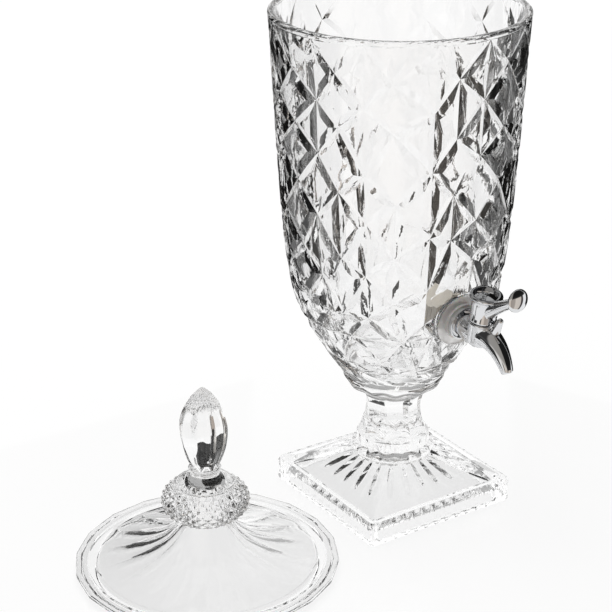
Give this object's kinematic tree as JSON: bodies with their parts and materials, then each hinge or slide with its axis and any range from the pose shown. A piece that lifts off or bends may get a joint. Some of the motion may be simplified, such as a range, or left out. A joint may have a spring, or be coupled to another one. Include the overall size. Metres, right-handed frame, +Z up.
{
  "type": "glass drinks dispenser urn",
  "caption": "Footed cut-glass dispenser urn with a chrome quarter-turn lever tap and a domed lid with ball and finial laid beside it.",
  "frame": {"origin": "centre of the square foot, on the surface it stands on", "axes": "+Z up the bowl's axis, the tap points along -Y, the lid lies towards -X"},
  "size_m": [0.3551, 0.2294, 0.3716],
  "materials": {
    "clear_glass": "polished cut glass",
    "chrome_plate": "mirror-bright plating on moulded plastic",
    "clear_silicone": "translucent silicone",
    "ivory_plastic": "moulded, satin",
    "white_plastic": "moulded, smooth",
    "black_rubber": "greased nitrile",
    "screw_steel": "zinc plated"
  },
  "bodies": {
    "urn": {"bowl": "clear_glass", "pedestal": "clear_glass", "tap_body": "chrome_plate", "escutcheon": "chrome_plate", "outer_washer": "clear_silicone", "inner_washer": "clear_silicone", "slip_washer": "ivory_plastic", "backing_nut": "ivory_plastic", "port_seal": "clear_silicone", "thrust_washer": "white_plastic", "bonnet": "white_plastic"},
    "handle": {"lever_handle": "chrome_plate", "valve_plug": "white_plastic", "upper_o_ring": "black_rubber", "lower_o_ring": "black_rubber", "handle_screw": "screw_steel", "hub_cap": "chrome_plate"},
    "lid": {"lid_dome": "clear_glass", "lid_ball": "clear_glass", "lid_finial": "clear_glass"}
  },
  "joints": [
    {"name": "handle_turn", "type": "hinge", "parent": "urn", "child": "handle", "pos_m": [0, -0.09876, 0.16437], "axis": [0, 0.1478, -0.989], "range_deg": [0, 90]},
    {"name": "lid_lift", "type": "slide", "parent": "urn", "child": "lid", "axis": [0, 0, 1], "range_m": [0, 0.15]}
  ]
}
